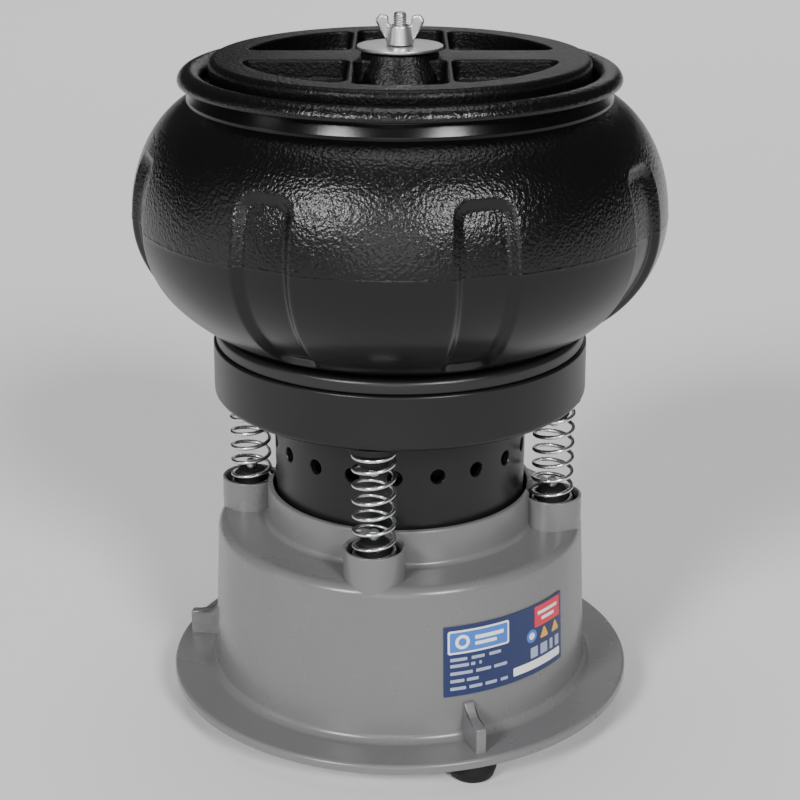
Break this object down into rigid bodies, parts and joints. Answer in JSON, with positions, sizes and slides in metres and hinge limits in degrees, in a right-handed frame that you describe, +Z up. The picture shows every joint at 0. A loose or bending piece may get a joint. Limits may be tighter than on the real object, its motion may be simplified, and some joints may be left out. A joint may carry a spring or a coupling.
{
  "type": "vibratory rock tumbler",
  "caption": "Vibratory rock tumbler: lidded bulging bowl on a sprung platform with a hung motor and off-centre weight, over a flanged round base; wing nut holds the lid.",
  "frame": {"origin": "on the floor under the upright axis of the bowl and base, level with the underside of the rubber feet", "axes": "+Z upwards along the bowl axis; -Y is the front, where the rating label is seen right of centre; +X to the right seen from the front"},
  "size_m": [0.24, 0.24, 0.326],
  "materials": {
    "grey_abs": "semi-gloss moulded",
    "black_shell": "moulded, hammered upper half",
    "black_abs": "satin moulded",
    "black_rubber": "matt",
    "zinc": "bright zinc plated",
    "spring_steel": "bright plated wire",
    "machined_steel": "machined",
    "laminated_steel": "stacked laminations",
    "copper_winding": "varnished coils",
    "cast_aluminium": "as cast",
    "label_film": "printed film"
  },
  "bodies": {
    "base": {"base_shell": "grey_abs", "bottom_cover": "zinc", "foot_1": "black_rubber", "foot_2": "black_rubber", "foot_3": "black_rubber", "foot_screw_1": "zinc", "foot_screw_2": "zinc", "foot_screw_3": "zinc", "rating_label": "label_film", "cord_gland": "black_rubber", "switch_body": "black_abs", "lower_spring_seat_1": "black_rubber", "lower_spring_seat_2": "black_rubber", "lower_spring_seat_3": "black_rubber", "lower_spring_seat_4": "black_rubber", "lower_seat_screw_1": "zinc", "lower_seat_screw_2": "zinc", "lower_seat_screw_3": "zinc", "lower_seat_screw_4": "zinc", "spring_1": "spring_steel", "spring_2": "spring_steel", "spring_3": "spring_steel", "spring_4": "spring_steel"},
    "shaker": {"platform": "black_abs", "motor_housing": "black_abs", "upper_spring_seat_1": "black_rubber", "upper_spring_seat_2": "black_rubber", "upper_spring_seat_3": "black_rubber", "upper_spring_seat_4": "black_rubber", "upper_seat_screw_1": "zinc", "upper_seat_screw_2": "zinc", "upper_seat_screw_3": "zinc", "upper_seat_screw_4": "zinc", "bowl_ring": "black_rubber", "bowl": "black_shell", "centre_rod": "zinc", "rod_lower_nut": "zinc", "clamp_washer": "zinc", "clamp_nut": "zinc", "stator_core": "laminated_steel", "lower_winding": "copper_winding", "upper_winding": "copper_winding", "upper_end_bell": "cast_aluminium", "lower_end_bell": "cast_aluminium", "upper_bearing": "machined_steel", "lower_bearing": "machined_steel", "motor_bolt_1": "zinc", "motor_bolt_2": "zinc", "motor_bolt_3": "zinc"},
    "rotor": {"motor_shaft": "machined_steel", "rotor_core": "laminated_steel", "cooling_fan": "black_abs", "eccentric_weight": "machined_steel"},
    "rocker": {"switch_rocker": "black_abs"},
    "lid": {"lid": "black_shell"},
    "washer": {"penny_washer": "zinc"},
    "wing_nut": {"wing_nut": "zinc"}
  },
  "joints": [
    {"name": "bounce", "type": "slide", "parent": "base", "child": "shaker", "axis": [0, 0, 1], "range_m": [-0.004, 0.004], "stiffness_N_per_m": 10500, "springref_m": 0.00321, "deforming": ["spring_1", "spring_2", "spring_3", "spring_4"]},
    {"name": "rotor_spin", "type": "hinge", "parent": "shaker", "child": "rotor", "pos_m": [0, 0, 0.1], "axis": [0, 0, 1], "continuous": true},
    {"name": "switch_tilt", "type": "hinge", "parent": "base", "child": "rocker", "pos_m": [0.03575, 0.08423, 0.05], "axis": [-0.9205, 0.3907, 0], "range_deg": [0, 16]},
    {"name": "lid_lift", "type": "slide", "parent": "shaker", "child": "lid", "axis": [0, 0, 1], "range_m": [0, 0.1]},
    {"name": "nut_travel", "type": "slide", "parent": "lid", "child": "washer", "axis": [0, 0, 1], "range_m": [0, 0.012]},
    {"name": "wing_nut_turn", "type": "hinge", "parent": "washer", "child": "wing_nut", "pos_m": [0, 0, 0.316], "axis": [0, 0, 1], "range_deg": [0, 4324]}
  ],
  "couplings": [
    {"joint": "wing_nut_turn", "follows": "nut_travel", "rad_per_m": 6283.2}
  ]
}
